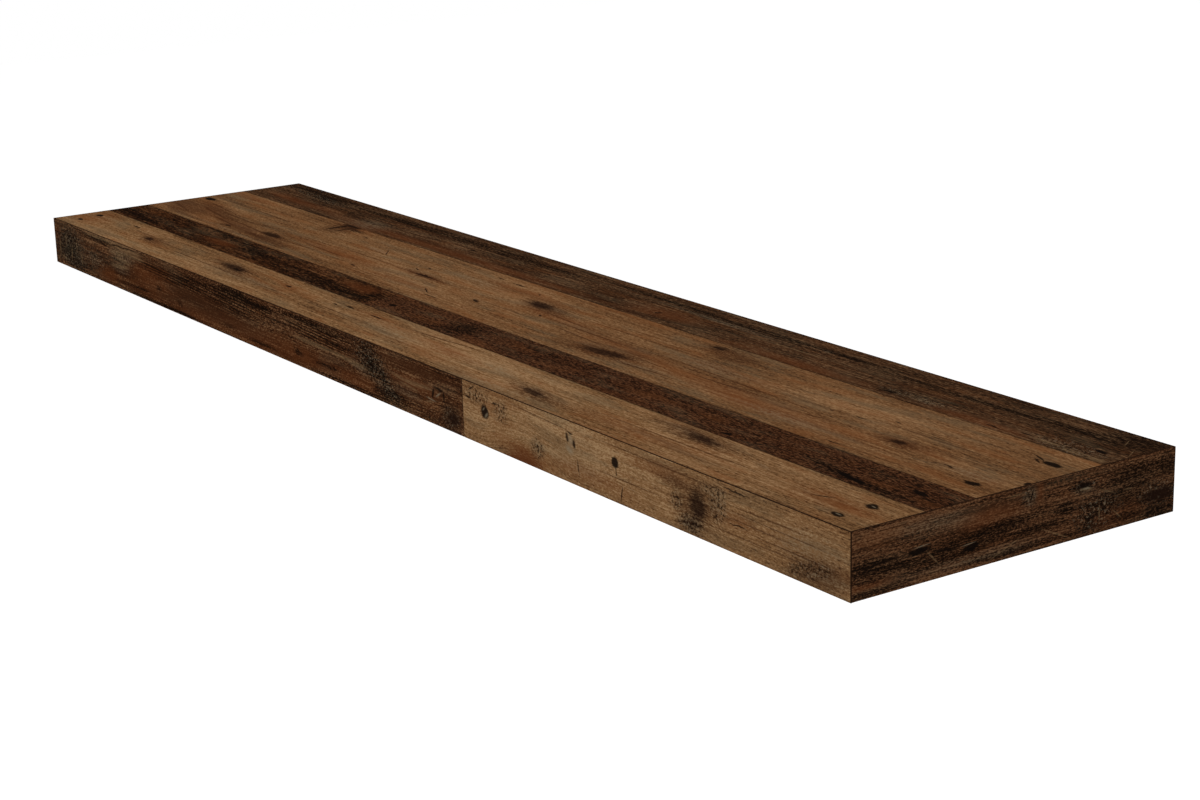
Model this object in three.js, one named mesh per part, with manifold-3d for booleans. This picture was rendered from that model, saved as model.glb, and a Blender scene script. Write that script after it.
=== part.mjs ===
// Floating wall shelf: a hollow board that slides onto four steel rods held by a bar on the wall.
// Millimetres. +X runs along the shelf, +Y points into the wall and +Z is up.
// The origin is the middle of the wall rail's back face, in the plane of the wall.

import * as THREE from 'three';
import { mergeVertices } from 'three/addons/utils/BufferGeometryUtils.js';
import Module from 'manifold-3d';

const wasm = await Module();
wasm.setup();

// The board's outside
const boardLength = 1100;
const boardDepth = 245;
const boardThickness = 40;

// Skins, edge bands and frame
const skinThickness = 3;
const bandThickness = 1;
const bandArris = 0.5; // radius of the trimmed outer edges
const frontRailDepth = 25;
const stileWidth = 30;
const rearRailDepth = 30;
const rearRecess = 10; // room behind the rear rail for the wall rail and its screw heads

// Wall rail
const railThickness = 4;
const railSideClearance = 2; // above and below, inside the skins
const railEndClearance = 9;
const railCornerRadius = 6;
const slotLength = 16;
const slotWidth = 6.5;
const slotEndMargin = 30; // from the rail's end to the middle of its last slot
const innerSlotShare = 0.25; // of the rod pitch, from the middle of the rail

// Support rods
const rodCount = 4;
const rodDiameter = 12;
const railTailLength = 90; // from the rail's end to the first rod
const rodToFront = 91; // from the rod's nose to the board's front
const rodNoseLength = 2;
const rodNoseChamfer = 1.5;
const weldDiameter = 18;
const weldLength = 3;
const spigotDiameter = 8;

// Rod blocks
const blockWidth = 60;
const boreTipRoom = 4; // beyond the rod's nose

// Lock: an insert nut and a grub screw under each outer rod, set flush into the bottom skin
const lockInset = 20; // from the block's rear face to the screw
const screwDiameter = 5.8;
const screwRecess = 0.7; // from the insert's rim to the screw's end
const screwTipChamfer = 0.8;
const socketSides = 6;
const socketAcross = 3;
const socketDepth = 3.5;
const insertDiameter = 9.4;
const insertTopRoom = 1.2; // from the insert to the rod's bore
const insertFlangeDiameter = 12.4;
const insertFlangeThickness = 1.2;

// Honeycomb core
const cellPitch = 30;
const cellWall = 0.9;

// Clearances and cuts
const rodClearance = 0.3;
const threadClearance = 0.2;
const seatClearance = 0.3;
const coreClearance = 0.5;
const overrun = 2;

// Facets
const roundSides = 32;
const smallSides = 24;
const arcSteps = 6;
const weldSteps = 3;

// Sizes that follow from those above
const halfLength = boardLength / 2;
const halfThickness = boardThickness / 2;
const skinMiddleZ = halfThickness - skinThickness / 2;
const innerHeight = boardThickness - 2 * skinThickness;
const frameLength = boardLength - 2 * bandThickness;
const frameFront = bandThickness - boardDepth; // back face of the front band
const baysFront = frameFront + frontRailDepth;
const baysBack = -rearRecess - rearRailDepth;
const blockLength = baysBack - baysFront;
const betweenStiles = frameLength - 2 * stileWidth;
const railLength = betweenStiles - 2 * railEndClearance;
const railHeight = innerHeight - 2 * railSideClearance;
const rodPitch = (railLength - 2 * railTailLength) / (rodCount - 1);
const rodRadius = rodDiameter / 2;
const rodNoseY = rodToFront - boardDepth;
const boreRadius = rodRadius + rodClearance;
const boreEndY = rodNoseY - boreTipRoom;
const lockY = baysBack - lockInset;
const insertTopZ = -boreRadius - insertTopRoom;
const insertBottomZ = -halfThickness;
const screwTopZ = -rodRadius - rodClearance;
const screwBottomZ = insertBottomZ + screwRecess;

const rodPlaces = [];
for (let i = 0; i < rodCount; i += 1) {
  rodPlaces.push((i - (rodCount - 1) / 2) * rodPitch);
}
const lockPlaces = [
  { side: 'left', x: rodPlaces[0] },
  { side: 'right', x: rodPlaces[rodCount - 1] },
];

// Materials
const makeMaterial = (colour, roughness, metalness) =>
  new THREE.MeshStandardMaterial({ color: new THREE.Color(colour), roughness, metalness });

const materials = {
  lightDecor: makeMaterial('#6f4f31', 0.6, 0),
  darkDecor: makeMaterial('#3f291a', 0.6, 0),
  particleboard: makeMaterial('#b39468', 0.85, 0),
  pine: makeMaterial('#d9b47c', 0.7, 0),
  paper: makeMaterial('#b28b5e', 0.9, 0),
  steel: makeMaterial('#2a2b2d', 0.45, 0.9),
  brass: makeMaterial('#b8923f', 0.35, 1),
  zinc: makeMaterial('#a9adb1', 0.35, 1),
};

// Solids and meshes
function toSolid(geometry) {
  const bare = geometry.clone();
  bare.deleteAttribute('normal');
  bare.deleteAttribute('uv');
  const merged = mergeVertices(bare);
  const mesh = new wasm.Mesh({
    numProp: 3,
    vertProperties: new Float32Array(merged.attributes.position.array),
    triVerts: new Uint32Array(merged.index.array),
  });
  return new wasm.Manifold(mesh);
}

function toGeometry(solid) {
  const mesh = solid.getMesh();
  const geometry = new THREE.BufferGeometry();
  geometry.setAttribute('position', new THREE.BufferAttribute(mesh.vertProperties, 3));
  geometry.setIndex(new THREE.BufferAttribute(mesh.triVerts, 1));
  geometry.computeVertexNormals();
  return geometry;
}

function cut(base, tools) {
  return toGeometry(tools.reduce((solid, tool) => solid.subtract(toSolid(tool)), toSolid(base)));
}

function makeMesh(name, geometry, material, x = 0, y = 0, z = 0) {
  const mesh = new THREE.Mesh(geometry, material);
  mesh.name = name;
  mesh.position.set(x, y, z);
  return mesh;
}

// A prism whose outline lies in X and Z, with its thickness along Y around zero
function uprightPlate(shape, thickness) {
  return flatPlate(shape, thickness).rotateX(Math.PI / 2);
}

// A prism whose outline lies in X and Y, with its height along Z around zero
function flatPlate(shape, height) {
  const options = { depth: height, bevelEnabled: false, curveSegments: arcSteps };
  return new THREE.ExtrudeGeometry(shape, options).translate(0, 0, -height / 2);
}

function circlePath(x, radius) {
  const path = new THREE.Path();
  path.absarc(x, 0, radius, 0, Math.PI);
  path.absarc(x, 0, radius, Math.PI, 2 * Math.PI);
  return path;
}

function roundBar(radius, length, sides) {
  return new THREE.CylinderGeometry(radius, radius, length, sides);
}

function uprightBar(radius, length, sides) {
  return roundBar(radius, length, sides).rotateX(Math.PI / 2);
}

// Wall rail: a flat steel bar with rounded corners, slots for the wall screws and a hole for each rod
function roundedRectangle(width, height, radius) {
  const right = width / 2;
  const top = height / 2;
  const shape = new THREE.Shape();
  shape.absarc(right - radius, radius - top, radius, -Math.PI / 2, 0);
  shape.absarc(right - radius, top - radius, radius, 0, Math.PI / 2);
  shape.absarc(radius - right, top - radius, radius, Math.PI / 2, Math.PI);
  shape.absarc(radius - right, radius - top, radius, Math.PI, 1.5 * Math.PI);
  shape.closePath();
  return shape;
}

function slotPath(x) {
  const radius = slotWidth / 2;
  const reach = slotLength / 2 - radius;
  const path = new THREE.Path();
  path.absarc(x + reach, 0, radius, -Math.PI / 2, Math.PI / 2);
  path.absarc(x - reach, 0, radius, Math.PI / 2, 1.5 * Math.PI);
  path.closePath();
  return path;
}

function makeWallRail() {
  const shape = roundedRectangle(railLength, railHeight, railCornerRadius);
  const slotPlaces = [innerSlotShare * rodPitch, rodPitch, railLength / 2 - slotEndMargin];
  for (const place of slotPlaces) {
    shape.holes.push(slotPath(place), slotPath(-place));
  }
  for (const place of rodPlaces) {
    shape.holes.push(circlePath(place, spigotDiameter / 2 + seatClearance));
  }
  return makeMesh('wall_rail', uprightPlate(shape, railThickness), materials.steel, 0, -railThickness / 2);
}

// Support rod: turned round Y, with a spigot through the rail, a weld fillet against it and a chamfered nose
function makeSupportRod(name, x) {
  const weldRadius = weldDiameter / 2;
  const weldWidth = weldRadius - rodRadius;
  const weldEndY = -railThickness - weldLength;
  const profile = [
    new THREE.Vector2(0, rodNoseY),
    new THREE.Vector2(rodRadius - rodNoseChamfer, rodNoseY),
    new THREE.Vector2(rodRadius, rodNoseY + rodNoseLength),
  ];
  for (let i = 0; i <= weldSteps; i += 1) {
    const turn = (i / weldSteps) * (Math.PI / 2);
    const radius = rodRadius + weldWidth * (1 - Math.cos(turn));
    profile.push(new THREE.Vector2(radius, weldEndY + weldLength * Math.sin(turn)));
  }
  profile.push(new THREE.Vector2(spigotDiameter / 2, -railThickness));
  profile.push(new THREE.Vector2(spigotDiameter / 2, 0));
  profile.push(new THREE.Vector2(0, 0));
  return makeMesh(name, new THREE.LatheGeometry(profile, roundSides), materials.steel, x);
}

// Skins: the bottom one has a stepped hole for each insert nut
function makeTopPanel() {
  const skin = new THREE.BoxGeometry(frameLength, -frameFront, skinThickness);
  return makeMesh('top_panel', skin, materials.lightDecor, 0, frameFront / 2, skinMiddleZ);
}

function makeBottomPanel() {
  const skin = new THREE.BoxGeometry(frameLength, -frameFront, skinThickness);
  skin.translate(0, frameFront / 2, -skinMiddleZ);
  const seatTop = insertBottomZ + insertFlangeThickness + seatClearance;
  const tools = lockPlaces.flatMap(({ x }) => [
    insertHole(x, lockY, insertDiameter, -innerHeight / 2 + overrun),
    insertHole(x, lockY, insertFlangeDiameter, seatTop),
  ]);
  return makeMesh('bottom_panel', cut(skin, tools), materials.darkDecor);
}

// A cutter for an insert nut's hole, from below the board up to a height
function insertHole(x, y, diameter, top) {
  const bottom = -halfThickness - overrun;
  return uprightBar(diameter / 2 + seatClearance, top - bottom, smallSides).translate(x, y, (top + bottom) / 2);
}

// Frame: four strips of particleboard between the skins
function makeStrip(name, length, depth, x, y) {
  const geometry = new THREE.BoxGeometry(length, depth, innerHeight);
  return makeMesh(name, geometry, materials.particleboard, x, y);
}

function makeRearRail() {
  const strip = new THREE.BoxGeometry(betweenStiles, rearRailDepth, innerHeight);
  const bores = rodPlaces.map((place) =>
    roundBar(boreRadius, rearRailDepth + 2 * overrun, roundSides).translate(place, 0, 0));
  return makeMesh('rear_rail', cut(strip, bores), materials.particleboard, 0, baysBack + rearRailDepth / 2);
}

// Rod block: pine, with a blind bore for the rod and, on the outer blocks, a hole for the insert nut
function makeRodBlock(name, x, locked) {
  const middleY = (baysFront + baysBack) / 2;
  const block = new THREE.BoxGeometry(blockWidth, blockLength, innerHeight);
  const boreLength = baysBack + overrun - boreEndY;
  const tools = [roundBar(boreRadius, boreLength, roundSides).translate(0, boreEndY + boreLength / 2 - middleY, 0)];
  if (locked) {
    tools.push(insertHole(0, lockY - middleY, insertDiameter, -boreRadius / 2));
  }
  return makeMesh(name, cut(block, tools), materials.pine, x, middleY);
}

// Insert nut: a flanged brass sleeve, turned round Z
function makeInsertNut(name, x) {
  const inner = screwDiameter / 2 + threadClearance;
  const outer = insertDiameter / 2;
  const flange = insertFlangeDiameter / 2;
  const flangeTopZ = insertBottomZ + insertFlangeThickness;
  const profile = [
    new THREE.Vector2(inner, insertBottomZ),
    new THREE.Vector2(flange, insertBottomZ),
    new THREE.Vector2(flange, flangeTopZ),
    new THREE.Vector2(outer, flangeTopZ),
    new THREE.Vector2(outer, insertTopZ),
    new THREE.Vector2(inner, insertTopZ),
    new THREE.Vector2(inner, insertBottomZ),
  ];
  const geometry = new THREE.LatheGeometry(profile, smallSides).rotateX(Math.PI / 2);
  return makeMesh(name, geometry, materials.brass, x, lockY);
}

// Locking screw: a grub screw with a chamfered tip and a hex socket in its lower end
function makeLockingScrew(name, x) {
  const radius = screwDiameter / 2;
  const profile = [
    new THREE.Vector2(0, screwBottomZ),
    new THREE.Vector2(radius, screwBottomZ),
    new THREE.Vector2(radius, screwTopZ - screwTipChamfer),
    new THREE.Vector2(radius - screwTipChamfer, screwTopZ),
    new THREE.Vector2(0, screwTopZ),
  ];
  const body = new THREE.LatheGeometry(profile, smallSides).rotateX(Math.PI / 2);
  const socket = uprightBar(socketAcross / Math.sqrt(3), socketDepth + overrun, socketSides);
  socket.translate(0, 0, screwBottomZ + (socketDepth - overrun) / 2);
  return makeMesh(name, cut(body, [socket]), materials.zinc, x, lockY);
}

// Honeycomb: whole numbers of cells fitted to the bay, cut through at its sides, all in one web
function cellPrism(cellWidth, rowPitch) {
  const slope = rowPitch / 3 / (cellWidth / 2);
  const apex = (2 / 3) * rowPitch - (cellWall / 2) * Math.hypot(1, slope);
  const side = (cellWidth - cellWall) / 2;
  const shoulder = apex - slope * side;
  const shape = new THREE.Shape();
  shape.moveTo(0, -apex);
  shape.lineTo(side, -shoulder);
  shape.lineTo(side, shoulder);
  shape.lineTo(0, apex);
  shape.lineTo(-side, shoulder);
  shape.lineTo(-side, -shoulder);
  shape.closePath();
  return flatPlate(shape, innerHeight + 2 * overrun);
}

function makeHoneycomb(name, left, right) {
  const width = right - left - 2 * coreClearance;
  const depth = blockLength - 2 * coreClearance;
  const columns = Math.max(1, Math.round(width / cellPitch));
  const rows = Math.max(2, Math.round(depth / (cellPitch * Math.sqrt(0.75))));
  const cellWidth = width / columns;
  const rowPitch = depth / rows;
  const prism = cellPrism(cellWidth, rowPitch);
  const cells = [];
  for (let row = 0; row <= rows; row += 1) {
    const shifted = row % 2;
    for (let column = 0; column <= columns - shifted; column += 1) {
      const x = (column + shifted / 2) * cellWidth - width / 2;
      cells.push(prism.clone().translate(x, row * rowPitch - depth / 2, 0));
    }
  }
  const block = new THREE.BoxGeometry(width, depth, innerHeight);
  return makeMesh(name, cut(block, cells), materials.paper, (left + right) / 2, (baysFront + baysBack) / 2);
}

// Edge bands: outer face at Y = 0 of the outline, with both outer corners rounded
function bandPrism(width, length) {
  const right = width / 2;
  const shape = new THREE.Shape();
  shape.moveTo(-right, bandThickness);
  shape.absarc(bandArris - right, bandArris, bandArris, Math.PI, 1.5 * Math.PI);
  shape.absarc(right - bandArris, bandArris, bandArris, 1.5 * Math.PI, 2 * Math.PI);
  shape.lineTo(right, bandThickness);
  shape.closePath();
  return flatPlate(shape, length);
}

// Front band: covers the ends of the side bands and is rounded all round
function makeFrontBand() {
  const across = bandPrism(boardLength, boardThickness);
  const along = bandPrism(boardThickness, boardLength).rotateY(-Math.PI / 2);
  const solid = toSolid(across).intersect(toSolid(along));
  return makeMesh('front_band', toGeometry(solid), materials.darkDecor, 0, -boardDepth);
}

// Side band: runs from the wall to the back of the front band
function makeSideBand(name, side) {
  const length = boardDepth - bandThickness;
  const band = bandPrism(boardThickness, length).rotateX(Math.PI / 2).rotateY((-side * Math.PI) / 2);
  return makeMesh(name, band, materials.darkDecor, side * halfLength, -length / 2);
}

// The bracket stays on the wall
const bracket = new THREE.Group();
bracket.add(makeWallRail());
rodPlaces.forEach((place, index) => bracket.add(makeSupportRod(`support_rod_${index + 1}`, place)));

// The board slides off the rods as one piece
const board = new THREE.Group();
board.add(makeTopPanel(), makeBottomPanel());
board.add(makeStrip('front_rail', frameLength, frontRailDepth, 0, frameFront + frontRailDepth / 2));
for (const [name, side] of [['left_stile', -1], ['right_stile', 1]]) {
  board.add(makeStrip(name, stileWidth, -baysFront, side * (frameLength - stileWidth) / 2, baysFront / 2));
}
board.add(makeRearRail());
rodPlaces.forEach((place, index) => {
  const locked = lockPlaces.some((lock) => lock.x === place);
  board.add(makeRodBlock(`rod_block_${index + 1}`, place, locked));
});
for (let bay = 0; bay <= rodCount; bay += 1) {
  const left = bay === 0 ? -betweenStiles / 2 : rodPlaces[bay - 1] + blockWidth / 2;
  const right = bay === rodCount ? betweenStiles / 2 : rodPlaces[bay] - blockWidth / 2;
  board.add(makeHoneycomb(`honeycomb_${bay + 1}`, left, right));
}
for (const { side, x } of lockPlaces) {
  board.add(makeInsertNut(`insert_nut_${side}`, x));
  board.add(makeLockingScrew(`locking_screw_${side}`, x));
}
board.add(makeFrontBand());
board.add(makeSideBand('left_band', -1));
board.add(makeSideBand('right_band', 1));

const shelf = new THREE.Group();
shelf.add(bracket, board);

export default shelf;
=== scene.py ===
import math

import bmesh
import bpy
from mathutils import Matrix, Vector


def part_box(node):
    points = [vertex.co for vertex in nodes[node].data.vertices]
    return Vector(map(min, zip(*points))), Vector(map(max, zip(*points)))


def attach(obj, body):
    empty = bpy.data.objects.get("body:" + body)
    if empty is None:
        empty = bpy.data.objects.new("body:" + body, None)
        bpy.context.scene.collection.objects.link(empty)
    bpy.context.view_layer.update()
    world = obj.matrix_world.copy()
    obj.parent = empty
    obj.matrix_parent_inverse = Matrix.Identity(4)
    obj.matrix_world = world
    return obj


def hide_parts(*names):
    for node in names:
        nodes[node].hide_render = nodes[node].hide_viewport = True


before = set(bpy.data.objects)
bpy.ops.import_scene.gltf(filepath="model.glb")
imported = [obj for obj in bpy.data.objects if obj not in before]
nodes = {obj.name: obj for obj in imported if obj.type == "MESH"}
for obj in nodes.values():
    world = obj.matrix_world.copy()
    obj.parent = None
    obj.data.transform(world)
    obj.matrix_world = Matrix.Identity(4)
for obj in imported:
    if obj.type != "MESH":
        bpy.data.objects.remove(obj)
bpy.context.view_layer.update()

mm = 0.001
hair = mm / 10  # places nearer than this count as one
farAway = 99.0  # in millimetres, further than a seam shows or an edge band is wide
xAxis, yAxis, zAxis = range(3)
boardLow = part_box("front_band")[0]
print("frame loaded:", len(nodes), "nodes")


def paint(red, green, blue):
    # a colour as a picture shows it, 0 to 255, turned into linear light
    shares = [level / 255 for level in (red, green, blue)]
    linear = [s / 12.92 if s <= 0.04045 else ((s + 0.055) / 1.055) ** 2.4 for s in shares]
    return (*linear, 1.0)


# A shader value that can be added, multiplied and so on

class Value:
    def __init__(self, finish, socket):
        self.finish = finish
        self.socket = socket

    def __add__(self, other):
        return self.finish.math("ADD", self, other)

    def __sub__(self, other):
        return self.finish.math("SUBTRACT", self, other)

    def __rsub__(self, other):
        return self.finish.math("SUBTRACT", other, self)

    def __mul__(self, other):
        return self.finish.math("MULTIPLY", self, other)

    def __truediv__(self, other):
        return self.finish.math("DIVIDE", self, other)

    def __rtruediv__(self, other):
        return self.finish.math("DIVIDE", other, self)

    __radd__ = __add__
    __rmul__ = __mul__


class Finish:
    def __init__(self, tree):
        self.tree = tree
        self.tree.nodes.clear()

    def node(self, kind, settings, sockets, output=0):
        made = self.tree.nodes.new("ShaderNode" + kind)
        for key, value in settings.items():
            if key == "stops":
                self.fillRamp(made.color_ramp, value)
            else:
                setattr(made, key, value)
        for key, value in sockets.items():
            if isinstance(value, Value):
                self.tree.links.new(value.socket, made.inputs[key])
            else:
                made.inputs[key].default_value = value
        return Value(self, made.outputs[output]) if made.outputs else None

    def fillRamp(self, ramp, stops):
        while len(ramp.elements) < len(stops):
            ramp.elements.new(1.0)
        for element, (place, colour) in zip(ramp.elements, stops):
            element.position = place
            element.color = colour

    def math(self, operation, *terms):
        return self.node("Math", {"operation": operation}, dict(enumerate(terms)))

    def over(self, value, edge):
        return self.math("GREATER_THAN", value, edge)

    def smooth(self, value, start, end):
        # 0 at start and 1 at end, with soft ends
        sockets = {"Value": value, "From Min": start, "From Max": end}
        return self.node("MapRange", {"interpolation_type": "SMOOTHSTEP"}, sockets)

    def mix(self, factor, first, second):
        return self.node("Mix", {"data_type": "RGBA"}, {0: factor, 6: first, 7: second}, output=2)

    def vector(self, operation, first, second, output=0):
        return self.node("VectorMath", {"operation": operation}, {0: first, 1: second}, output)

    def ramp(self, value, places, colours):
        return self.node("ValToRGB", {"stops": list(zip(places, colours))}, {"Fac": value})

    def place(self):
        # the three object coordinates, in millimetres
        here = self.node("TexCoord", {}, {}, output="Object")
        scaled = self.vector("MULTIPLY", here, (1 / mm, 1 / mm, 1 / mm))
        return [self.node("SeparateXYZ", {}, {"Vector": scaled}, output=axis) for axis in "XYZ"]

    def point(self, along, across, layer=0.0):
        return self.node("CombineXYZ", {}, {"X": along, "Y": across, "Z": layer})

    def noise(self, point, length, width, detail=2.0, roughness=0.5):
        # soft spots of this length and width in millimetres, around 0.5
        stretched = self.vector("MULTIPLY", point, (1 / length, 1 / width, 1.0))
        sockets = {"Vector": stretched, "Scale": 1.0, "Detail": detail, "Roughness": roughness}
        return self.node("TexNoise", {}, sockets)

    def swing(self, point, *sizes):
        # the same spots, around 0
        return self.noise(point, *sizes) - 0.5

    def wobble(self, point, size, amount, detail=1.0):
        # shifts a point by up to about half this amount, along and across, from two places of a noise
        away = self.vector("ADD", point, (7.3 * size, 4.1 * size, 0.0))
        along = self.swing(point, size, size, detail) * (2 * amount)
        across = self.swing(away, size, size, detail) * (2 * amount)
        return self.vector("ADD", point, self.point(along, across))

    def nearest(self, point, marks):
        # how far the nearest oval mark is: 0 in its middle and 1 on its edge
        group = bpy.data.node_groups.new("marks", "ShaderNodeTree")
        group.interface.new_socket("Point", in_out="INPUT", socket_type="NodeSocketVector")
        group.interface.new_socket("Distance", in_out="OUTPUT", socket_type="NodeSocketFloat")
        inside = Finish(group)
        here = Value(inside, group.nodes.new("NodeGroupInput").outputs["Point"])
        found = None
        for turn in sorted({mark[4] for mark in marks}):
            # marks that lean alike share one turned point
            lean = math.radians(turn)
            cosine, sine = math.cos(lean), math.sin(lean)
            u = inside.vector("DOT_PRODUCT", here, (cosine, sine, 0.0), output="Value")
            v = inside.vector("DOT_PRODUCT", here, (-sine, cosine, 0.0), output="Value")
            turned = inside.point(u, v)
            for along, across, length, width, own in marks:
                if own != turn:
                    continue
                scale = (2 / length, 2 / width, 0.0)
                middle = (along * cosine + across * sine, across * cosine - along * sine)
                shift = (-middle[0] * scale[0], -middle[1] * scale[1], 0.0)
                sockets = {0: turned, 1: scale, 2: shift}
                local = inside.node("VectorMath", {"operation": "MULTIPLY_ADD"}, sockets)
                distance = inside.vector("LENGTH", local, (0.0, 0.0, 0.0), output="Value")
                found = distance if found is None else inside.math("MINIMUM", found, distance)
        result = group.nodes.new("NodeGroupOutput")
        group.links.new(found.socket, result.inputs["Distance"])
        return self.node("Group", {"node_tree": group}, {"Point": point})

    def surface(self, look, colour, roughness, height, metallic=0.0):
        # the look holds how deep the relief of this height is, in metres, and the gloss
        bump = self.node("Bump", {}, {"Strength": 1.0, "Distance": look["relief"], "Height": height})
        sockets = {"Base Color": colour, "Roughness": roughness, "Metallic": metallic, "Normal": bump}
        sockets["Specular IOR Level"] = look["gloss"]
        shader = self.node("BsdfPrincipled", {}, sockets)
        self.node("OutputMaterial", {}, {"Surface": shader})


def newFinish(name):
    material = bpy.data.materials.new(name)
    material.use_nodes = True
    return material, Finish(material.node_tree)


# Old-wood decor: what all its printed boards share

decor = {
    # the grain's layers: length and width in millimetres, detail and roughness
    "cloud": (150, 20, 2.0, 0.5),
    "streak": (54, 2.6, 2.0, 0.6),
    "line": (60, 0.9, 1.0, 0.5),
    "dash": (11, 1.7, 1.0, 0.5),
    "crackle": (2.2, 2.4, 4.0, 0.85),
    "hue": (60, 11, 3.0, 0.55),
    "emboss": (26, 0.8, 1.0, 0.5),
    "bend": (9, 1.8, 2.0),  # how knots and cracks are bent: over what length, how far, and the detail
    # growth rings: arches in millimetres, and the shares of a ring over which it darkens and ends
    "ringPitch": 6.5,
    "ringWander": 16,
    "ringRise": (0.4, 0.92),
    "ringFall": (1.0, 0.94),
    "archStart": 6,
    "archSlope": 0.055,
    # saw stripes in millimetres, and the shares of a stripe over which it darkens
    "stripePitch": 1.15,
    "stripeSlope": 0.03,
    "stripeWander": 3,
    "stripeRagged": 0.5,
    "stripeRise": (0.6, 0.3),
    # how far out a mark starts to lift what is around it (1 is its edge), where it does so fully, and how
    # much: knots and domes lift the grain, in millimetres, and lit patches lift the tone
    "knotLift": (3.4, 0.6, 3.0),
    "domeLift": (2.6, 0.3, 10),
    "litLift": (1.6, 0.1, 0.19),
    # at which value of its noise each kind of spot starts, and at which it is full
    "greySpot": (0.5, 0.68),
    "warmSpot": (0.48, 0.3),
    "dashSpot": (0.58, 0.7),
    "dustSpot": (0.45, 0.39),
    "crackleSpot": (0.5, 0.555),
    "paleFibre": (-0.02, 0.08),
    "lineShare": 0.5,  # of the fine lines in a fibre, beside the speckle
    "ragged": {"speckle": 0.8, "streak": 0.6},  # their shares in the edge of a mark
    # colours and tones
    "middle": 0.5,  # of the tones
    "tones": (0.16, 0.4, 0.62, 0.86),  # where a board's four colours lie, dark to pale
    "greyWash": paint(92, 78, 58),
    "warmWash": paint(112, 66, 34),
    "dust": paint(120, 108, 88),
    "dustStrength": 0.7,
    # where boards meet and where the face ends, in millimetres
    "seam": paint(24, 15, 10),
    "seamWidth": (1.0, 0.2),
    "seamStrength": 0.5,
    "seamRagged": 0.8,
    "rim": paint(36, 22, 14),
    "rimWidth": (0.6, 0.1),
    "rimStrength": 0.7,
    "faceDepth": 0.12,  # how deep the print reaches into its panel
    "bandDepth": (0.02, 0.3),  # where an edge band turns from print to its own dark plastic
    # the matt lacquer: pale tones are a little smoother, and the relief is in metres
    "roughness": 0.62,
    "paleShine": 0.12,
    "relief": 0.00006,
    "gloss": 0.0,
}

# how each kind of mark is drawn: its colour, where it starts and is full (1 is its edge), its strength,
# how ragged the grain makes its edge, and how much of it shows on pale fibres (or on dark ones, below 0)
markStyles = {
    "red": (paint(98, 52, 25), 1.5, 0.2, 0.36, 1.2, 0.0),
    "grey": (paint(108, 94, 74), 1.4, 0.3, 0.42, 1.6, 0.85),
    "shade": (paint(17, 11, 8), 1.4, 0.3, 0.9, 2.0, -0.4),
    "halo": (paint(62, 38, 23), 1.6, 0.3, 0.72, 1.0, -0.3),
    "dome": (paint(84, 42, 20), 1.1, 0.4, 0.75, 0.5, 0.0),
    "stripe": (paint(18, 11, 8), 1.3, 0.5, 0.85, 1.0, 0.0),
    "streak": (paint(60, 34, 19), 1.3, 0.3, 0.7, 1.0, 0.0),
    "crackle": (paint(18, 12, 9), 1.4, 0.5, 0.9, 0.8, 0.0),
    "knot": (paint(32, 19, 13), 1.35, 0.45, 0.92, 1.0, -0.15),
    "pale": (paint(128, 102, 72), 1.2, 0.5, 0.5, 0.8, 0.5),
    "crack": (paint(22, 14, 10), 1.3, 0.4, 0.9, 0.6, 0.0),
    "nail": (paint(16, 11, 9), 1.15, 0.7, 0.95, 0.3, 0.0),
    "glint": (paint(132, 118, 96), 1.3, 0.3, 0.5, 0.4, 0.0),
}
bentMarks = ("halo", "knot", "nail", "crack")  # the others stay true ovals


def layered(masks, numbers):
    # one number for each board, chosen by the boards' masks
    value = numbers[0]
    for mask, number in zip(masks, numbers[1:]):
        value = value + mask * (number - value)
    return value


def boardMasks(finish, along, across, boards):
    # 1 where each board after the first lies, and how far the nearest seam is
    masks = []
    seam = farAway
    for board in boards[1:]:
        mask = finish.over(across, board["from"])
        gap = finish.math("ABSOLUTE", across - board["from"])
        if "joint" in board:
            side = along - across * board["lean"]
            gap = finish.math("ABSOLUTE", side - board["joint"])
            outside = 1 - mask * finish.math("LESS_THAN", across, board["to"])
            gap = gap + outside * farAway
            mask = mask * finish.over(side, board["joint"])
        masks.append(mask)
        seam = finish.math("MINIMUM", seam, gap)
    return masks, seam


def lifted(finish, distance, kind):
    # what marks of a kind add to the grain's place or tone around them
    start, full, amount = decor[kind]
    return finish.smooth(distance, start, full) * amount


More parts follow.
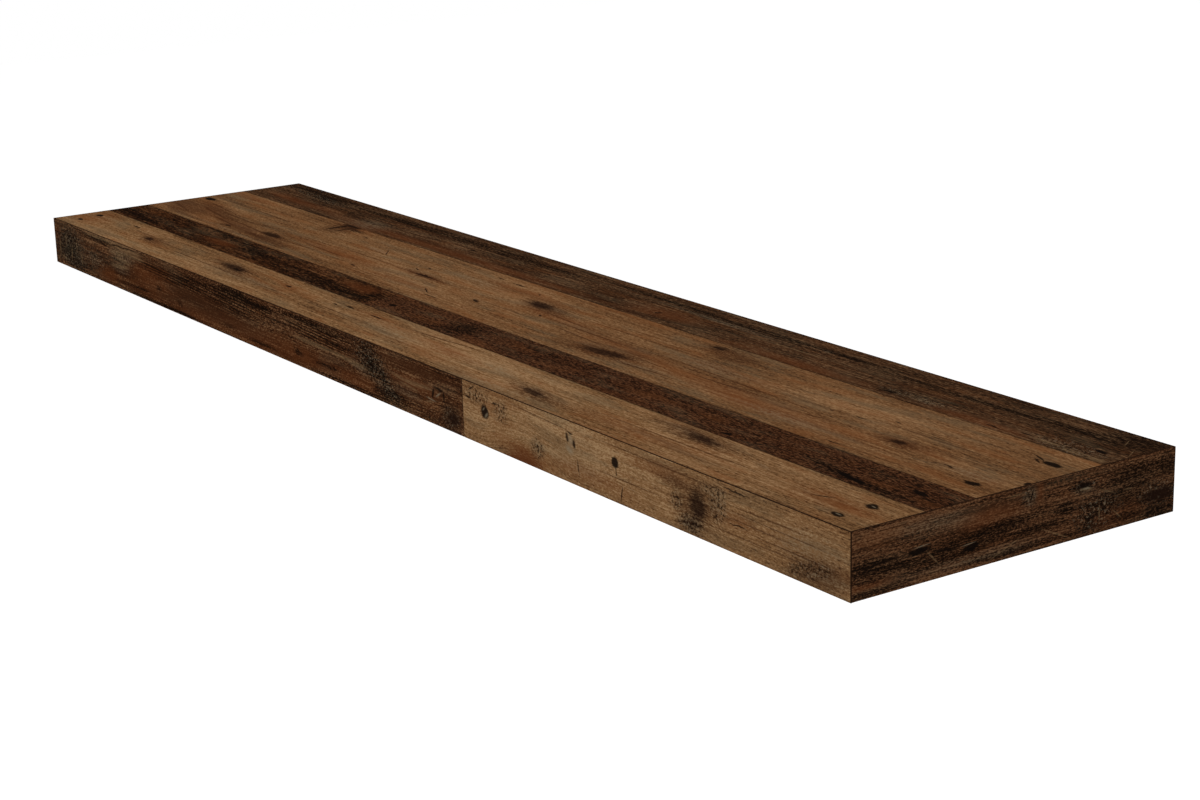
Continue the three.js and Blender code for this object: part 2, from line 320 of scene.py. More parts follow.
def oldWood(finish, along, across, plan):
    # the colour and the grain's tone of a face of printed boards
    boards, marks = plan["boards"], plan["marks"]
    masks, seam = boardMasks(finish, along, across, boards)
    flat = finish.point(along, across)
    bent = finish.wobble(flat, *decor["bend"])
    knot = finish.nearest(bent, marks["knot"])

    # the grain lifts where it passes a knot
    lift = lifted(finish, knot, "knotLift")
    if "dome" in marks:
        lift = lift + lifted(finish, finish.nearest(flat, marks["dome"]), "domeLift")
    layer = layered(masks, [board["seed"] for board in boards])
    point = finish.point(along, across + lift, layer)
    sizes = {**decor, "speckle": plan["speckle"]}
    fineness = layered(masks, [board["fineness"] for board in boards])
    points = {"speckle": finish.vector("MULTIPLY", point, finish.point(fineness, fineness, 1.0))}
    kinds = ("cloud", "streak", "line", "speckle")
    noises = {kind: finish.swing(points.get(kind, point), *sizes[kind]) for kind in kinds}
    tone = decor["middle"]
    for number, kind in enumerate(kinds):
        tone = noises[kind] * layered(masks, [board["grain"][number] for board in boards]) + tone

    # growth rings: arches that close towards the right
    fromHeart = across + lift - layered(masks, [board["heart"] for board in boards])
    depth = along * decor["archSlope"] + decor["archStart"]
    reach = finish.math("SQRT", fromHeart * fromHeart + depth * depth)
    arch = reach + noises["cloud"] * decor["ringWander"]
    phase = finish.math("FRACT", arch / decor["ringPitch"])
    ring = finish.smooth(phase, *decor["ringRise"]) * finish.smooth(phase, *decor["ringFall"])
    tone = tone - ring * layered(masks, [board["rings"] for board in boards])
    if "lit" in marks:
        tone = tone + lifted(finish, finish.nearest(flat, marks["lit"]), "litLift")

    # each board's own colours, with grey and warm spots and short dark flecks over them
    places = decor["tones"]
    colour = finish.ramp(tone, places, boards[0]["wood"])
    for mask, board in zip(masks, boards[1:]):
        colour = finish.mix(mask, colour, finish.ramp(tone, places, board["wood"]))
    hue = finish.noise(point, *decor["hue"])
    wash = layered(masks, [board["wash"] for board in boards])
    colour = finish.mix(finish.smooth(hue, *decor["greySpot"]) * wash, colour, decor["greyWash"])
    colour = finish.mix(finish.smooth(hue, *decor["warmSpot"]) * wash, colour, decor["warmWash"])
    dash = finish.smooth(finish.noise(point, *decor["dash"]), *decor["dashSpot"])
    flecks = dash * layered(masks, [board["flecks"] for board in boards])
    colour = finish.mix(flecks, colour, decor["seam"])

    # the marks, one kind over another
    fine = noises["line"] * decor["lineShare"] + noises["speckle"]
    paleFibre = finish.smooth(fine, *decor["paleFibre"])
    darkFibre = 1 - paleFibre
    shares = decor["ragged"]
    ragged = noises["speckle"] * shares["speckle"] + noises["streak"] * shares["streak"]
    crackle = finish.noise(flat, *decor["crackle"])
    stripeRun = across - along * decor["stripeSlope"] + noises["streak"] * decor["stripeWander"]
    stripePhase = finish.math("PINGPONG", stripeRun / decor["stripePitch"], 1.0)
    for kind, (ink, start, full, strength, raggedShare, fibreShare) in markStyles.items():
        if kind not in marks:
            continue
        ground = bent if kind in bentMarks else flat
        distance = knot if kind == "knot" else finish.nearest(ground, marks[kind])
        cover = finish.smooth(distance + ragged * raggedShare, start, full) * strength
        if fibreShare:
            fibre = paleFibre if fibreShare > 0 else darkFibre
            cover = cover * (fibre * abs(fibreShare) + (1 - abs(fibreShare)))
        if kind == "stripe":
            stripe = stripePhase + noises["speckle"] * decor["stripeRagged"]
            cover = cover * finish.smooth(stripe, *decor["stripeRise"])
        if kind == "crackle":
            dusty = cover * finish.smooth(crackle, *decor["dustSpot"]) * decor["dustStrength"]
            colour = finish.mix(dusty, colour, decor["dust"])
            cover = cover * finish.smooth(crackle, *decor["crackleSpot"])
        colour = finish.mix(cover, colour, ink)

    line = finish.smooth(seam + ragged * decor["seamRagged"], *decor["seamWidth"])
    colour = finish.mix(line * decor["seamStrength"], colour, decor["seam"])
    return colour, tone


fibreboardLook = {
    "fibre": (1.6, 0.5, 4.0, 0.7),
    "places": (0.3, 0.5, 0.7),
    "colours": (paint(96, 66, 42), paint(134, 98, 66), paint(164, 128, 92)),
}


def fibreboard(finish, along, across):
    # the bare brown edge of a pressed fibre skin
    look = fibreboardLook
    speck = finish.noise(finish.point(along, across), *look["fibre"])
    return finish.ramp(speck, look["places"], look["colours"])


def printed(finish, colour, tone, along, across):
    # the matt lacquer of the print, with the grain faintly embossed
    height = finish.noise(finish.point(along, across), *decor["emboss"])
    roughness = decor["roughness"] - tone * decor["paleShine"]
    finish.surface(decor, colour, roughness, height)


def printedSkin(name, plan, node, side):
    # a decor face that looks up (side 1) or down (side -1), over a bare fibreboard skin
    material, finish = newFinish(name)
    low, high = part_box(node)
    x, y, z = finish.place()
    along, across = x - boardLow.x / mm, y * -1
    colour, tone = oldWood(finish, along, across, plan)
    border = finish.math("MINIMUM", high.x / mm - finish.math("ABSOLUTE", x), y - low.y / mm)
    rim = finish.smooth(border, *decor["rimWidth"]) * decor["rimStrength"]
    colour = finish.mix(rim, colour, decor["rim"])
    faceHeight = (high.z if side > 0 else -low.z) / mm
    face = finish.over(z * side, faceHeight - decor["faceDepth"])
    colour = finish.mix(face, fibreboard(finish, x + y, z), colour)
    printed(finish, colour, tone, along, across)
    return material


def printedBand(name, plan, *directions):
    # a decor edge band; along, across and inward are each an axis, where it starts and which way it runs
    material, finish = newFinish(name)
    here = finish.place()
    along, across, depth = [(here[axis] - start / mm) * way for axis, start, way in directions]
    colour, tone = oldWood(finish, along, across, plan)
    colour = finish.mix(finish.smooth(depth, *decor["bandDepth"]), colour, decor["rim"])
    printed(finish, colour, tone, along, across)
    return material


# Plates cut to the frame's boxes, with a map for the exported finish

plates = {
    "skinRadius": 0.15 * mm,
    "bandRadius": 0.5 * mm,
    "roundingSteps": 3,
    "roundProfile": 0.5,
    "mapMargin": 0.004,  # around each row of the map, as a share of its width
    "mapShown": 0.9,  # how much of the map's height the shown face may take
    "mapGap": 0.1,  # on both sides of each small face, as a share of its place in the strip
    "facing": 0.9,  # how squarely a face looks out to count as the shown one
    "digits": 3,  # of a millimetre, where faces and their spans are put in order
}


def slab(name, low, high, roundedAt, radius, mainNormal, rows):
    # a box with the edges rounded whose middles lie at the given places on the given axes
    mesh = bmesh.new()
    bmesh.ops.create_cube(mesh, size=1.0)
    middle = (low + high) / 2
    size = high - low
    for vertex in mesh.verts:
        vertex.co = Vector(middle[axis] + vertex.co[axis] * size[axis] for axis in range(3))
    rounded = []
    for edge in mesh.edges:
        centre = (edge.verts[0].co + edge.verts[1].co) / 2
        if all(abs(centre[axis] - place) < hair for axis, place in roundedAt.items()):
            rounded.append(edge)
    rounding = {"segments": plates["roundingSteps"], "profile": plates["roundProfile"]}
    bmesh.ops.bevel(mesh, geom=rounded, offset=radius, affect="EDGES", **rounding)
    long = max(range(3), key=lambda axis: size[axis])
    step = Vector(1.0 if axis == long else 0.0 for axis in range(3))
    for row in range(1, rows):
        geometry = mesh.verts[:] + mesh.edges[:] + mesh.faces[:]
        cut = low + step * (size[long] * row / rows)
        bmesh.ops.bisect_plane(mesh, geom=geometry, plane_co=cut, plane_no=step)
    layFlat(mesh, low, size, long, mainNormal, rows)
    data = bpy.data.meshes.new(name)
    mesh.to_mesh(data)
    mesh.free()
    made = bpy.data.objects.new(name, data)
    bpy.context.scene.collection.objects.link(made)
    return made


def steady(length):
    # a length without its last digits, which may differ from run to run
    return round(length / mm, plates["digits"])


def layFlat(mesh, low, size, long, mainNormal, rows):
    # the shown face in rows that fill the width of the map, the rest small in the strip left over
    sheet = mesh.loops.layers.uv.new("OFBake")
    mesh.normal_update()
    wide = [axis for axis in range(3) if axis != long and not mainNormal[axis]][0]
    rowLength = size[long] / rows
    margin, gap = plates["mapMargin"], plates["mapGap"]
    fittedHeight = (plates["mapShown"] - margin * rows) / (size[wide] * rows)
    scale = min((1 - 2 * margin) / rowLength, fittedHeight)
    used = rows * (size[wide] * scale + margin)
    others = [face for face in mesh.faces if face.normal.dot(mainNormal) < plates["facing"]]
    others.sort(key=lambda face: [steady(place) for place in face.calc_center_median()])
    for face in mesh.faces:
        if face in others:
            continue
        row = min(rows - 1, int((face.calc_center_median()[long] - low[long]) / rowLength))
        for loop in face.loops:
            away = loop.vert.co - low
            u = margin + (away[long] - row * rowLength) * scale
            v = margin + row * (size[wide] * scale + margin) + away[wide] * scale
            loop[sheet].uv = (u, v)
    for place, face in enumerate(others):
        corners = [loop.vert.co for loop in face.loops]
        spans = [max(c[axis] for c in corners) - min(c[axis] for c in corners) for axis in range(3)]
        first, second = sorted(range(3), key=lambda axis: -steady(spans[axis]))[:2]
        start = [min(c[axis] for c in corners) for axis in (first, second)]
        for loop in face.loops:
            u = (loop.vert.co[first] - start[0]) / max(spans[first], hair)
            v = (loop.vert.co[second] - start[1]) / max(spans[second], hair)
            u = (place + gap + (1 - 2 * gap) * u) / len(others)
            loop[sheet].uv = (u, used + margin + v * (1 - used - 2 * margin))


def shown(piece, material, node):
    piece.data.materials.append(material)
    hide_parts(node)
    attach(piece, "shelf_board")


# Top skin: dark and pale boards in turn, from the wall to the front, the second dark one in two lengths

topPlan = {
    "speckle": (3.4, 0.8, 2.0, 0.72),
    # each board: where it starts, the seed of its noises, where its heart lies, how strong its rings,
    # flecks, grain (clouds, streaks, lines and speckle) and washes are, and how fine its speckle is; one
    # with a joint starts there along the face and ends across it at "to"
    "boards": [
        {
            "from": 0, "seed": 0.0, "heart": 34, "rings": 0.08, "flecks": 0.6,
            "grain": (0.6, 0.8, 0.9, 1.8), "wash": 0.18, "fineness": 0.75,
            "wood": [paint(20, 13, 9), paint(54, 35, 22), paint(74, 49, 31), paint(106, 80, 56)],
        },
        {
            "from": 58, "seed": 7.3, "heart": 113, "rings": 0.05, "flecks": 0.16,
            "grain": (0.55, 0.35, 0.75, 1.6), "wash": 0.4, "fineness": 1.0,
            "wood": [paint(54, 33, 19), paint(98, 67, 41), paint(113, 80, 51), paint(140, 106, 73)],
        },
        {
            "from": 154.8, "seed": 12.6, "heart": 170, "rings": 0.08, "flecks": 0.8,
            "grain": (0.6, 0.8, 0.6, 2.2), "wash": 0.18, "fineness": 0.75,
            "wood": [paint(14, 9, 7), paint(40, 22, 12), paint(60, 34, 18), paint(94, 62, 38)],
        },
        {
            "from": 154.8, "to": 191.9, "joint": 440, "lean": 0.16,
            "seed": 19.1, "heart": 182, "rings": 0.05, "flecks": 0.9,
            "grain": (0.4, 0.5, 0.6, 3.0), "wash": 0.18, "fineness": 0.85,
            "wood": [paint(20, 12, 8), paint(50, 28, 16), paint(70, 41, 25), paint(92, 61, 39)],
        },
        {
            "from": 191.9, "seed": 27.4, "heart": 226, "rings": 0.06, "flecks": 0.16,
            "grain": (0.55, 0.4, 0.75, 1.6), "wash": 0.4, "fineness": 1.0,
            "wood": [paint(66, 43, 25), paint(109, 78, 49), paint(124, 91, 60), paint(150, 118, 84)],
        },
    ],
    # each mark: along, across, length and width in millimetres, and its turn in degrees
    "marks": {
        "knot": [
            (200, 129, 36, 10, 3), (144, 216.5, 17, 6, 5), (297, 211, 44, 11, 3), (422, 109, 26, 5, 3),
            (566, 93, 34, 12, 6), (710, 134, 56, 11, -8), (750, 67, 16, 8, 0), (993, 118, 15, 6, 0),
            (915, 204, 42, 10, 4), (762, 226, 32, 8, 6), (137, 140, 9, 4, 0), (350, 133, 16, 3, 3),
        ],
        "halo": [
            (206, 136, 44, 24, 4), (150, 218, 44, 12, 4), (296, 211, 70, 16, 3), (422, 109, 60, 10, 2),
            (576, 94, 70, 20, 6), (706, 134, 92, 22, -8), (770, 72, 60, 22, 6), (994, 118, 40, 14, 0),
            (908, 203, 80, 19, 4), (768, 227, 72, 15, 6), (216, 72, 34, 30, 0), (150, 212, 90, 5, 2),
            (64, 119, 90, 24, 8), (24, 124, 60, 22, 6), (50, 145, 70, 10, 4), (40, 130, 110, 30, 4),
            (150, 136, 120, 12, 4), (105, 127, 90, 14, 10), (226, 141, 60, 12, 2),
        ],
        "nail": [
            (15, 98.6, 20, 8, 6), (18.5, 208.5, 12, 5.5, 5), (22.5, 229, 9, 5, 8), (1081, 80, 16, 6, 5),
            (1078, 138.5, 13, 6, 0), (1075, 208.5, 12, 7, 10), (1073, 231, 12, 5.5, 5),
            (1098, 115.5, 4, 5, 0), (915, 186, 9, 3.6, 0), (493, 177, 10, 6, 0), (1081, 41, 10, 4, 0),
            (1073.5, 172.6, 15, 5.5, 8), (1028, 184, 32, 5, 8),
        ],
        "crack": [
            (209.5, 70, 6, 26, 4), (222, 72, 3, 22, 0), (215, 60, 36, 5.5, 0), (1066, 76, 16, 1.8, 22),
            (263, 73.5, 13, 2, 6), (467, 133, 20, 1.4, 22), (485, 140.5, 22, 1.8, 2),
            (521, 122, 12, 3, 14), (500, 69.5, 19, 2.2, 2), (471, 68.5, 14, 1.6, 3),
            (536, 75, 5, 2.4, 20), (591, 110, 6, 2.4, 20), (398, 101, 9, 2.4, 12), (404, 93, 7, 2, 20),
            (328, 89, 22, 1.4, 34), (89, 203.5, 16, 3, 3), (385, 208, 12, 3, 6),
            (462, 208.5, 10, 2.4, 8), (304, 212.5, 18, 3.2, 4), (478, 204.5, 13, 3, 4),
            (518, 204.5, 19, 2.2, 0), (962, 91.5, 7, 1.8, 0), (939, 102.5, 8, 1.6, 0),
            (968, 148, 14, 1.4, 0), (1070, 78, 10, 1.6, 24), (1046, 127, 12, 1.6, 4),
            (1003, 53, 16, 2, 4), (1028, 49, 11, 2, 0), (905, 50, 14, 3, 0), (216, 163, 10, 3, 4),
            (395, 21, 20, 3, 3), (368, 32, 8, 4, 0), (1025, 183.5, 34, 2.2, 9), (640, 40, 8, 3.5, -40),
            (1070, 81, 12, 1.6, 24), (1044, 217, 14, 1.6, -24),
        ],
        "streak": [
            (418, 109.5, 130, 2.2, 0.4), (330, 108, 90, 1.6, 0), (668, 112, 150, 2.4, 1),
            (820, 111.5, 175, 2, 2), (828, 120, 130, 2, -2.4), (930, 120.5, 80, 1.6, -6),
            (1016, 110, 44, 1.6, 3), (606, 201, 104, 2.2, -5), (800, 33, 150, 2, 0.4),
            (755, 39.5, 50, 2.4, 0), (930, 34, 180, 2, 0.6), (240, 21, 200, 3, 0),
            (560, 16, 230, 2.4, 1), (659, 35, 34, 2.4, 0), (280, 222, 240, 1.4, 0.6),
            (480, 219, 160, 1.4, 0.8), (700, 92, 200, 1.2, 0), (130, 91, 220, 1.6, 1),
            (900, 219, 260, 1.4, -0.6), (180, 203, 170, 1.4, -0.4), (780, 155.8, 40, 2, 0),
            (560, 119, 120, 1.4, 0.6), (1010, 98, 150, 1.2, 0), (78, 124, 80, 3, 8),
            (112, 133, 60, 3.4, 6), (160, 129, 110, 3, 4), (196, 141, 70, 3, 3), (60, 109, 100, 2.4, 6),
            (120, 118, 90, 2.4, 2), (250, 131, 110, 2, -3), (290, 124, 100, 1.6, 2),
            (30, 134, 50, 3, 10), (655, 122, 90, 2.4, 4), (760, 139, 70, 2.4, -4),
            (620, 104, 120, 2, 4),
        ],
        "shade": [
            (250, 16, 330, 14, 0.4), (70, 12, 190, 20, 3), (440, 17, 190, 13, 0.6),
            (660, 15, 300, 8, 2), (800, 15, 200, 6, 1), (1084, 12, 70, 34, 0), (960, 22, 190, 7, 1),
            (1050, 20, 110, 10, 2), (225, 66, 44, 9, 0), (904, 50, 26, 6, 0), (181, 162, 34, 12, 10),
            (104, 158.5, 26, 5, 0), (392, 181, 110, 20, 2), (457, 176, 26, 30, 0),
            (262, 172, 90, 14, 4), (590, 173, 48, 30, 0), (1052, 186, 70, 9, 0), (742, 162, 14, 5, 0),
            (1010, 182, 70, 10, 8), (40, 184, 150, 16, 0),
        ],
        "red": [
            (22, 130, 70, 34, 0), (62, 120, 66, 24, 8), (150, 134, 130, 12, 4), (225, 60, 60, 14, 0),
            (384, 208, 34, 9, 4), (416, 110, 90, 9, 0), (716, 117, 120, 14, 3), (1000, 119, 70, 12, 0),
            (648, 38, 80, 20, 0), (515, 204, 60, 6, 0), (860, 130, 220, 22, 2), (30, 66, 90, 14, 3),
            (80, 42, 130, 14, 2), (200, 176, 60, 12, 0), (430, 168, 60, 16, 0), (990, 52, 100, 12, 0),
            (820, 52, 150, 12, 0), (24, 216, 60, 46, 0), (300, 120, 160, 14, 2),
            (360, 50, 440, 13, 0.4), (600, 104, 110, 16, 4), (640, 215, 90, 12, 2),
            (880, 226, 140, 14, 0), (1056, 220, 70, 20, 0), (430, 132, 90, 12, 0),
            (520, 78, 130, 10, 1),
        ],
        "grey": [
            (222, 44, 54, 26, 0), (562, 218, 90, 24, 8), (684, 130, 34, 9, -6), (1066, 128, 52, 12, 0),
            (936, 48, 20, 6, 10), (805, 17, 9, 6, 0), (584, 92, 30, 7, 6), (978, 209, 22, 5, 8),
            (700, 22, 160, 8, 2), (312, 90, 40, 8, 0), (742, 139, 40, 8, -8), (150, 148, 190, 6, 2),
            (330, 222, 150, 14, 0), (730, 238, 150, 10, 0), (890, 200, 50, 8, 2), (470, 88, 90, 14, 2),
            (790, 100, 130, 16, 0), (905, 138, 120, 12, 0), (700, 212, 60, 10, 6),
        ],
        "pale": [
            (623, 92, 34, 0.9, -52), (1078, 17, 12, 1, 60), (1094, 30, 14, 1, 60),
            (466, 130, 20, 0.8, 22), (1077, 52, 44, 1.6, 3), (760, 30, 120, 1.4, 0.6),
            (1090, 208, 10, 2, -10), (216, 161, 12, 1, 4), (1046, 51, 30, 4, 0), (1071, 54.5, 24, 3, 4),
            (740, 193.4, 520, 2, 0), (1090, 54, 16, 6, 0),
        ],
        "lit": [
            (480, 112, 300, 70, 0), (920, 86, 170, 34, 0), (700, 216, 220, 40, 0),
            (520, 72, 160, 20, 0), (750, 220, 120, 34, 0),
        ],
        "crackle": [(80, 20, 110, 12, 4), (930, 47, 70, 9, 2), (1062, 48, 60, 20, 0)],
        "glint": [(1073, 230.8, 6, 1.4, 5), (1075.5, 208, 5, 1.2, 10)],
    },
}

topLow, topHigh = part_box("top_panel")
above = Vector((0, 0, 1))
roundedAt = {zAxis: topHigh.z}
topSkin = slab("top_skin", topLow, topHigh, roundedAt, plates["skinRadius"], above, rows=2)
topFinish = printedSkin("oldWoodTop", topPlan, "top_panel", 1)
shown(topSkin, topFinish, "top_panel")
print("top skin made")


# Front edge band: a dark plank and a light one, measured down from the top edge

frontPlan = {
    "speckle": (2.4, 0.8, 2.0, 0.75),
    "boards": [
        {
            "from": 0, "seed": 33.2, "heart": 12, "rings": 0.08, "flecks": 0.6,
            "grain": (0.5, 0.5, 0.9, 1.9), "wash": 0.18, "fineness": 0.9,
            "wood": [paint(18, 11, 8), paint(56, 32, 18), paint(75, 45, 26), paint(116, 85, 58)],
        },
        {
            "from": -farAway, "to": farAway, "joint": 704.7, "lean": 0.0,
            "seed": 41.7, "heart": 20, "rings": 0.06, "flecks": 0.25,
            "grain": (0.4, 0.25, 0.7, 1.6), "wash": 0.3, "fineness": 1.0,
            "wood": [paint(66, 42, 26), paint(119, 86, 55), paint(131, 97, 64), paint(160, 128, 92)],
        },
    ],
    "marks": {
        "knot": [(964.5, 21, 17, 22, -14), (693, 31, 14, 8, 8)],
        "halo": [
            (964, 20, 24, 25, -16), (962, 22, 40, 30, -20), (1076, 31, 60, 16, -8),
            (689, 31, 24, 20, 0), (948, 12, 40, 8, 0),
        ],
        "dome": [(779, 44, 52, 36, 0)],
        "nail": [(732.4, 16.4, 10.6, 9.8, 0), (881.6, 15, 8, 8, -10)],
        "glint": [
            (734.2, 18.2, 6, 2.4, -42), (731, 14.6, 4, 1.4, -42), (833.2, 11.8, 5, 8, -14),
            (832, 18.5, 9, 5, 20), (672.5, 18, 9, 1.6, -30), (663, 23, 14, 1.4, 4),
        ],
        "crack": [
            (841, 28, 1.2, 11, -14), (887.5, 33, 1.4, 12, 14), (673, 13.5, 15, 2.8, 0),
            (666, 18, 2.4, 9, 14), (680, 18, 2.2, 9, -14), (1000, 3, 26, 1.4, 0),
            (1003, 22.5, 18, 1.2, 0), (716, 4, 8, 1.4, -30), (722, 8, 1.2, 8, 0), (712, 11, 9, 1.2, 10),
            (744, 8, 8, 1.2, -8), (58, 2, 62, 1.4, 4), (100, 3.9, 44, 1.5, 0), (150, 2.3, 84, 1.4, -2),
            (882, 21, 1.2, 6, 0), (110, 6, 30, 1.2, 4), (829.4, 10.6, 3.6, 7.4, -14),
            (837, 13.8, 3.8, 6, -14), (833, 7.4, 7, 1.6, 14),
        ],
        "streak": [
            (1030, 12, 90, 1, 0), (1040, 16, 100, 1, 1), (1020, 20, 80, 1, 0.6), (1050, 25, 90, 1, 0.6),
            (896, 24, 90, 1, 0), (796, 5, 90, 1, 2), (1010, 29, 120, 1, 0), (926, 5, 160, 1, 0.6),
            (330, 28, 230, 16, 0), (290, 20, 120, 10, 0), (640, 6, 120, 9, 0),
        ],
        "stripe": [
            (306, 14, 200, 20, 2), (368, 8, 110, 16, 2), (495, 11, 110, 14, 2), (227, 10, 120, 10, 2),
        ],
        "shade": [
            (364, 4, 80, 9, 0), (104, 4, 80, 6, 0), (580, 14, 40, 24, 20), (688, 30, 26, 20, 0),
            (30, 22, 60, 30, 0), (405, 6, 60, 6, 0), (604, 33, 50, 12, 0), (598, 22, 24, 8, 40),
            (500, 4, 130, 5, 1), (957, 33, 18, 9, 0), (555, 38, 120, 4, 0), (238, 38, 160, 3, 0),
            (45, 34, 60, 10, 0), (30, 12, 50, 12, 0), (186, 32, 34, 3, 0), (262, 30, 12, 6, 20),
            (300, 26, 30, 3, 2), (352, 32, 26, 4, 0), (222, 25, 10, 5, 0), (408, 35, 44, 3, 0),
            (468, 29, 14, 6, 10), (516, 31, 34, 3, 0),
        ],
        "red": [
            (435, 32, 260, 18, 0), (115, 32, 50, 14, 0), (208, 20, 90, 34, 0), (639, 17, 70, 12, 0),
            (8, 12, 16, 14, 0), (554, 34, 90, 14, 0), (296, 34, 120, 12, 0), (780, 42, 60, 26, 0),
            (1003, 20, 34, 10, 0), (930, 8, 60, 10, 0), (850, 30, 90, 12, 0),
        ],
        "grey": [
            (145, 10, 44, 12, 0), (145, 21, 40, 9, 0), (40, 22, 70, 34, 0), (560, 21, 34, 8, 12),
            (600, 28, 34, 8, 8), (632, 26, 40, 9, 4), (832, 17, 12, 8, 0), (984, 13, 20, 22, 0),
            (957, 33, 26, 14, 0), (88, 22, 30, 14, 0), (1064, 18, 70, 22, 0), (795, 26, 20, 16, 0),
            (1080, 32, 44, 12, 0),
        ],
        "crackle": [
            (40, 30, 66, 16, 0), (34, 14, 64, 22, 0), (90, 22, 50, 20, 0), (957, 33, 26, 15, 0),
            (722, 7, 34, 12, 0), (984, 14, 18, 26, 0), (795, 26, 16, 16, 0), (580, 14, 54, 26, 20),
            (150, 12, 50, 12, 0), (1066, 31, 40, 10, -14), (689, 31, 24, 18, 0), (944, 22, 12, 14, 0),
            (752, 12, 18, 16, 0), (604, 26, 30, 16, 20), (974, 8, 16, 8, 0),
        ],
        "pale": [
            (146, 20, 40, 4, -4), (494, 18, 70, 4, 0), (542, 19, 70, 4, 2), (644, 16.5, 50, 3, -1),
            (661, 25, 12, 1.6, -8), (172, 7, 50, 4, 0), (628, 17, 42, 2.4, 4), (634, 20.5, 30, 2, 4),
            (110, 1.5, 120, 5, 0), (158, 3.6, 70, 6, 0), (12, 24, 2, 16, 4), (26, 16, 1.8, 12, -6),
            (38, 26, 2, 14, 8), (50, 18, 1.8, 10, -10), (20, 32, 14, 1.8, 10), (60, 28, 2, 12, 0),
            (140, 9, 40, 5, -3), (150, 14, 36, 4, 4),
        ],
        "lit": [(110, 1, 140, 5, 0), (150, 4, 120, 16, 0), (845, 15, 300, 50, 0)],
    },
}

frontLow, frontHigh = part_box("front_band")
ahead = Vector((0, -1, 0))
roundedAt = {yAxis: frontLow.y}
frontEdge = slab("front_edge", frontLow, frontHigh, roundedAt, plates["bandRadius"], ahead, rows=4)
along, down, inward = (xAxis, frontLow.x, 1), (zAxis, frontHigh.z, -1), (yAxis, frontLow.y, 1)
frontFinish = printedBand("oldWoodFront", frontPlan, along, down, inward)
shown(frontEdge, frontFinish, "front_band")
print("front band made")


# End bands: one dark plank each, the right one measured from the front

endPlan = {
    "speckle": (2.2, 0.8, 2.0, 0.75),
    "boards": [
        {
            "from": 0, "seed": 52.9, "heart": 24, "rings": 0.05, "flecks": 0.5,
            "grain": (0.5, 0.4, 0.9, 2.0), "wash": 0.14, "fineness": 1.0,
            "wood": [paint(16, 10, 7), paint(58, 36, 22), paint(85, 54, 34), paint(114, 82, 56)],
        },
    ],
    "marks": {
        "knot": [(233, 26, 26, 9, 0)],
        "nail": [(48, 21, 17, 4.4, -4), (86, 27, 14, 3.8, -6)],
        "crack": [
            (66, 24, 20, 1.6, 10), (131, 6, 1.6, 9, 16), (125, 10, 7, 1.4, -20), (18, 22, 40, 2, -3),
            (171, 8.4, 12, 4.6, 4),
        ],
        "shade": [
            (16, 21, 40, 6, 0), (20, 25, 60, 9, 0), (62, 27, 60, 8, -3), (96, 26, 40, 6, 0),
            (110, 20, 70, 7, -3), (232, 27, 40, 12, 0), (157, 20, 20, 8, 0), (176, 30, 8, 20, 24),
            (170, 9, 24, 7, 0), (215, 17, 40, 7, 6), (238, 10, 24, 16, 0), (20, 37, 60, 4, 0),
            (190, 24, 36, 7, -20), (120, 36, 80, 4, 0), (30, 27, 60, 5, 0), (205, 34, 30, 6, 0),
            (212, 10, 60, 16, 0), (200, 22, 60, 16, 0), (112, 20, 40, 9, 0), (75, 29, 60, 6, -4),
            (135, 27, 50, 7, 0), (232, 36, 40, 8, 0), (12, 30, 30, 4, 0),
        ],
        "red": [
            (12, 32, 30, 6, 0), (200, 30, 40, 14, 0), (100, 12, 50, 12, 0), (137, 6, 6, 12, 10),
        ],
        "lit": [(24, 6, 130, 24, 0), (8, 34, 50, 8, 0)],
        "grey": [(58, 8, 60, 12, 0), (130, 7, 12, 14, 0), (90, 34, 110, 7, 0), (172, 12, 18, 6, 0)],
        "crackle": [
            (129, 7, 10, 12, 0), (182, 26, 36, 20, 0), (172, 9, 20, 7, 0), (232, 24, 30, 14, 0),
        ],
        "pale": [
            (58, 27, 14, 1.2, 46), (173, 11.5, 10, 1.4, 4), (207, 18, 8, 1.2, 4), (184, 28, 1.2, 11, 0),
            (198, 31, 10, 1, 40), (119, 4, 14, 1, 0), (190, 16, 14, 1, 20), (110, 34, 30, 1, -20),
            (150, 33, 26, 1, 24),
        ],
        "glint": [(50, 18.6, 12, 0.8, -4), (84, 24.9, 11, 0.7, -4), (173, 11, 8, 1.4, 4)],
    },
}

endPieces = {
    # which end each is, and where its picture starts: the left end shows the plank further along
    "right_edge": {"node": "right_band", "side": 1, "start": boardLow.y},
    "left_edge": {"node": "left_band", "side": -1, "start": 0.3},
}
for name, end in endPieces.items():
    side = end["side"]
    low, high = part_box(end["node"])
    outer = high.x if side > 0 else low.x
    roundedAt = {xAxis: outer, yAxis: (low.y + high.y) / 2}
    edge = slab(name, low, high, roundedAt, plates["bandRadius"], Vector((side, 0, 0)), rows=2)
    along, down, inward = (yAxis, end["start"], side), (zAxis, high.z, -1), (xAxis, outer, -side)
    endFinish = printedBand(name + "Decor", endPlan, along, down, inward)
    shown(edge, endFinish, end["node"])
print("end bands made")


# Underside: three boards, the dark one in two lengths

